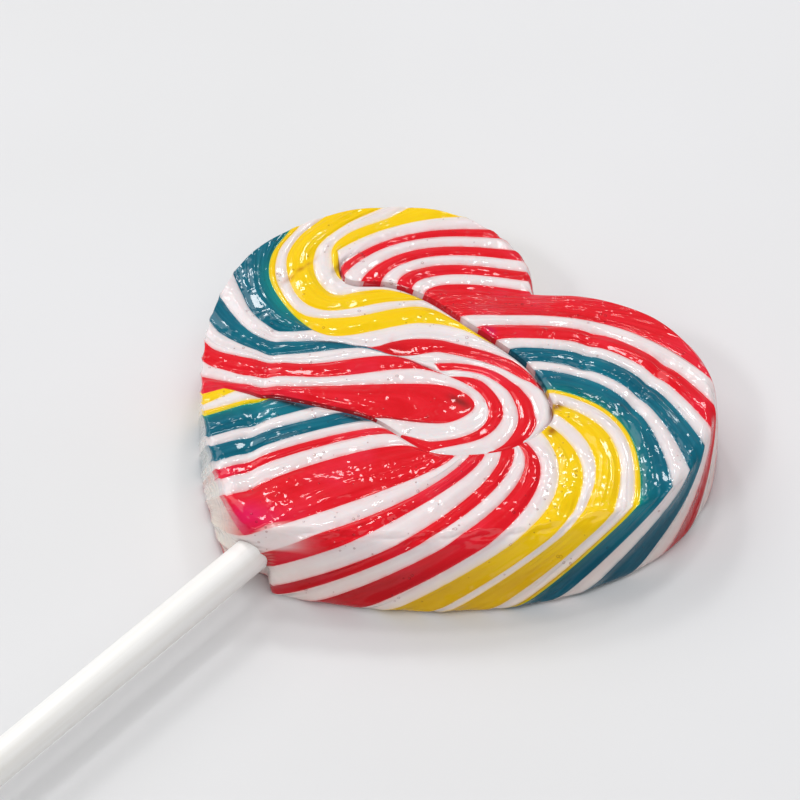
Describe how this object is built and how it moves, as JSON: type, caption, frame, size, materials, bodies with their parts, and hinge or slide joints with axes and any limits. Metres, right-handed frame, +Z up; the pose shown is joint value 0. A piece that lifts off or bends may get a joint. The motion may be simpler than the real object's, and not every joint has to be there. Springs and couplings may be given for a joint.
{
  "type": "heart swirl lollipop",
  "caption": "Heart-shaped swirl lollipop of pulled hard sugar in winding red, white, teal and yellow strands, on a straight round stick, lying flat.",
  "frame": {"origin": "middle of the heart's flat underside, on the surface that the lollipop lies on", "axes": "+Y along the stick's axis from the stick towards the cleft between the lobes, +Z up through the candy's thickness, +X across the heart"},
  "size_m": [0.0925, 0.1976, 0.0155],
  "materials": {
    "candy": "glassy pulled sugar with fused coloured strands, faint streaks and fine bubbles",
    "stick": "smooth white, slightly soft sheen"
  },
  "bodies": {
    "root": {"candy": "candy", "stick": "stick"}
  },
  "joints": []
}
